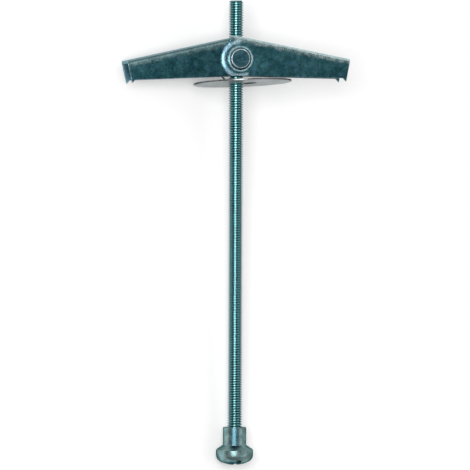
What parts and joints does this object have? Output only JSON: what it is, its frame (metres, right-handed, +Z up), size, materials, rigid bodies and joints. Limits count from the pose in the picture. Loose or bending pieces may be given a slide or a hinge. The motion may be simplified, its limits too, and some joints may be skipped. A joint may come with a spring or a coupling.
{
  "type": "spring toggle bolt",
  "caption": "Spring toggle bolt for cavity walls: long threaded rod with a slotted mushroom head nut, a loose wide washer and sprung folding wings on a trunnion nut.",
  "frame": {"origin": "on the floor under the middle of the whole part as it lies at rest", "axes": "+Y along the rod from the head towards its free end, in plan; +Z up from the floor; +X towards the right wing"},
  "size_m": [0.0636, 0.1308, 0.0277],
  "materials": {
    "rod_zinc": "bright zinc plating with a blue-green passivation, thread left as rolled",
    "head_zinc": "satin zinc plating with a faint blue-green passivation",
    "washer_zinc": "pale grey zinc plating",
    "trunnion_zinc": "turned and zinc plated, blue-green passivation",
    "wing_zinc": "pressed sheet, zinc plated with a dark blue-green passivation, paler at folds and cut edges",
    "spring_steel": "drawn spring wire"
  },
  "bodies": {
    "rod": {"threaded_rod": "rod_zinc"},
    "head": {"head_nut": "head_zinc"},
    "toggle": {"trunnion_nut": "trunnion_zinc", "wing_spring": "spring_steel"},
    "left": {"left_wing": "wing_zinc"},
    "right": {"right_wing": "wing_zinc"},
    "washer": {"washer": "washer_zinc"}
  },
  "joints": [
    {"name": "head_turn", "type": "hinge", "parent": "rod", "child": "head", "pos_m": [0, -0.05732, 0.00563], "axis": [0, 0.9973, 0.0737], "continuous": true},
    {"name": "toggle_travel", "type": "slide", "parent": "rod", "child": "toggle", "axis": [0, 0.9973, 0.0737], "range_m": [-0.055, 0.012]},
    {"name": "left_wing_fold", "type": "hinge", "parent": "toggle", "child": "left", "pos_m": [0, 0.04887, 0.01348], "axis": [-0.2622, -0.0711, 0.9624], "range_deg": [0, 75], "stiffness_Nm_per_rad": 0.01, "springref_deg": -68.75, "deforming": ["wing_spring"]},
    {"name": "right_wing_fold", "type": "hinge", "parent": "toggle", "child": "right", "pos_m": [0, 0.04887, 0.01348], "axis": [0.2622, 0.0711, -0.9624], "range_deg": [0, 75]},
    {"name": "washer_slide", "type": "slide", "parent": "toggle", "child": "washer", "axis": [0, -0.9973, -0.0737], "range_m": [0, 0.0348]}
  ],
  "couplings": [
    {"joint": "right_wing_fold", "follows": "left_wing_fold", "ratio": 1},
    {"joint": "washer_slide", "follows": "left_wing_fold", "m_per_rad": 0.0265}
  ]
}
